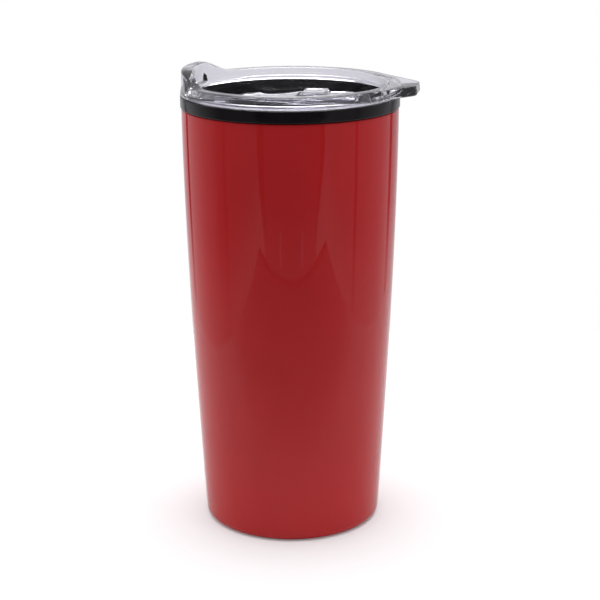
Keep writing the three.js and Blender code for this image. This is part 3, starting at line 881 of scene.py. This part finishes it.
class Glow:
    """An emission material that may rise towards a lighter foot, like cloth curving into the table."""

    def __init__(self, name):
        self.material = bpy.data.materials.new(name)
        self.material.use_nodes = True
        self.nodes, self.links = self.material.node_tree.nodes, self.material.node_tree.links
        self.nodes.remove(self.nodes["Principled BSDF"])
        self.place = self.nodes.new("ShaderNodeTexCoord").outputs["Object"]
        self.glow = self.nodes.new("ShaderNodeEmission")
        self.links.new(self.glow.outputs["Emission"], self.nodes["Material Output"].inputs["Surface"])

    def foot(self, height, keep, lift):
        """Scales the level by keep and adds lift at the foot, fading out up to a height in metres."""
        axes = self.nodes.new("ShaderNodeSeparateXYZ")
        self.links.new(self.place, axes.inputs["Vector"])
        near = self.nodes.new("ShaderNodeMapRange")
        near.interpolation_type = "SMOOTHSTEP"
        near.inputs["From Min"].default_value = height
        near.inputs["From Max"].default_value = 0.0
        self.links.new(axes.outputs["Z"], near.inputs["Value"])
        mix = self.nodes.new("ShaderNodeMix")
        mix.data_type = "RGBA"
        self.links.new(near.outputs["Result"], mix.inputs["Factor"])
        lifted = self.nodes.new("ShaderNodeVectorMath")
        lifted.operation = "MULTIPLY_ADD"
        lifted.inputs[1].default_value = (keep, keep, keep)
        lifted.inputs[2].default_value = (lift, lift, lift)
        return lifted.inputs[0], lifted.outputs["Vector"], mix

    def finish(self, colour, foot=None):
        if foot:
            source, lifted, mix = self.foot(*foot)
            self.links.new(colour, source)
            self.links.new(colour, mix.inputs["A"])
            self.links.new(lifted, mix.inputs["B"])
            colour = mix.outputs["Result"]
        self.links.new(colour, self.glow.inputs["Color"])
        return self.material


def tent_cloth():
    """Glowing cloth whose level changes round the tumbler; zero degrees is towards the camera."""
    g = Glow("tent_cloth")
    turn = g.nodes.new("ShaderNodeVectorRotate")
    turn.rotation_type = "Z_AXIS"
    turn.inputs["Angle"].default_value = math.pi / 2 - CAMERA_AZIMUTH
    g.links.new(g.place, turn.inputs["Vector"])
    bearing = g.nodes.new("ShaderNodeTexGradient")
    bearing.gradient_type = "RADIAL"
    g.links.new(turn.outputs["Vector"], bearing.inputs["Vector"])
    ramp = g.nodes.new("ShaderNodeValToRGB")
    stops = ramp.color_ramp.elements
    for _ in TENT_LIGHT[2:]:
        stops.new(0.5)
    for stop, (degrees, level) in zip(stops, TENT_LIGHT):
        stop.position = degrees / 360 + 0.5
        stop.color = (level, level * 0.98 + 0.004, level + 0.025, 1)
    g.links.new(bearing.outputs["Fac"], ramp.inputs["Fac"])
    return g.finish(ramp.outputs["Color"], CLOTH_FOOT)


def plain_glow(name, level, foot=None):
    g = Glow(name)
    colour = g.nodes.new("ShaderNodeRGB")
    colour.outputs["Color"].default_value = (*(level * tint for tint in OPENING_TINT), 1)
    return g.finish(colour.outputs["Color"], foot)


def make_tent():
    """Glowing walls and a dim front opening, seen only in reflections and through clear plastic."""
    cloth = tent_cloth()
    corners = (
        (TENT_FRONT, TENT_LEFT), (TENT_BACK, TENT_LEFT), (TENT_BACK, TENT_RIGHT), (TENT_FRONT, TENT_RIGHT),
    )
    for i, (f0, s0) in enumerate(corners):
        f1, s1 = corners[(i + 1) % 4]
        wall = stage_panel(f"tent_wall_{i}", (
            (f0, s0, 0), (f1, s1, 0), (f1, s1, TENT_TOP), (f0, s0, TENT_TOP),
        ))
        wall.visible_camera = False
        wall.data.materials.append(cloth)
    for name, outline, inward, level, foot in (
            ("opening_edge", OPENING_EDGE, 0.003, 0.0, (0.055, 0.0, 0.36)),
            ("opening", OPENING, 0.006, 0.13, (0.060, 1.0, 0.22))):
        panel = stage_panel(name, [(TENT_FRONT - inward, side, z) for side, z in outline])
        panel.visible_camera = False
        panel.data.materials.append(plain_glow(name, level, foot))
    for side in LAMP_FEET:
        lamp = stage_panel("lamp_foot", [(TENT_FRONT - 0.009, side + x, z) for x, z in LAMP_FOOT])
        lamp.visible_camera = False
        lamp.data.materials.append(plain_glow("lamp_foot", LAMP_FOOT_LEVEL))


def make_world():
    """Plain white backdrop, behind the tent."""
    world = bpy.data.worlds.new("studio")
    bpy.context.scene.world = world
    world.use_nodes = True
    world.node_tree.nodes["Background"].inputs["Color"].default_value = (1, 1, 1, 1)
    world.node_tree.nodes["Background"].inputs["Strength"].default_value = 1.0
    for ray in ("diffuse", "glossy", "transmission", "scatter"):
        setattr(world.cycles_visibility, ray, False)


def area_light(name, place, size, energy):
    """Soft rectangular lamp over or beside the tumbler, aimed at its middle height."""
    data = bpy.data.lights.new(name, "AREA")
    data.shape = "RECTANGLE"
    data.size, data.size_y = size
    data.energy = energy
    lamp = bpy.data.objects.new(name, data)
    lamp.location = stage_place(*place)
    aim = Vector((0, 0, LAMP_AIM_Z)) - lamp.location
    lamp.rotation_euler = aim.to_track_quat("-Z", "Y").to_euler()
    lamp.visible_camera = False
    bpy.context.scene.collection.objects.link(lamp)
    return lamp


def make_lights():
    area_light(*OVERHEAD_LIGHT)
    for name, place, size, energy in FILL_LIGHTS:
        fill = area_light(name, place, size, energy)
        fill.visible_glossy = False
        fill.visible_transmission = False


def make_camera():
    """The main view."""
    data = bpy.data.cameras.new("camera")
    data.sensor_width = CAMERA_SENSOR
    data.lens = CAMERA_LENS
    data.clip_start = 0.01
    camera = bpy.data.objects.new("camera", data)
    bpy.context.scene.collection.objects.link(camera)
    camera.location = (
        CAMERA_DISTANCE * math.sin(CAMERA_AZIMUTH),
        -CAMERA_DISTANCE * math.cos(CAMERA_AZIMUTH),
        CAMERA_HEIGHT,
    )
    heading = Matrix.Rotation(CAMERA_AZIMUTH + CAMERA_PAN, 4, "Z")
    tilt = Matrix.Rotation(math.pi / 2 - CAMERA_DOWN, 4, "X")
    roll = Matrix.Rotation(CAMERA_ROLL, 4, "Z")
    camera.rotation_euler = (heading @ tilt @ roll).to_euler()
    bpy.context.scene.camera = camera


make_floor()
make_tent()
make_lights()
make_world()
make_camera()
bpy.context.scene.view_settings.view_transform = "Standard"
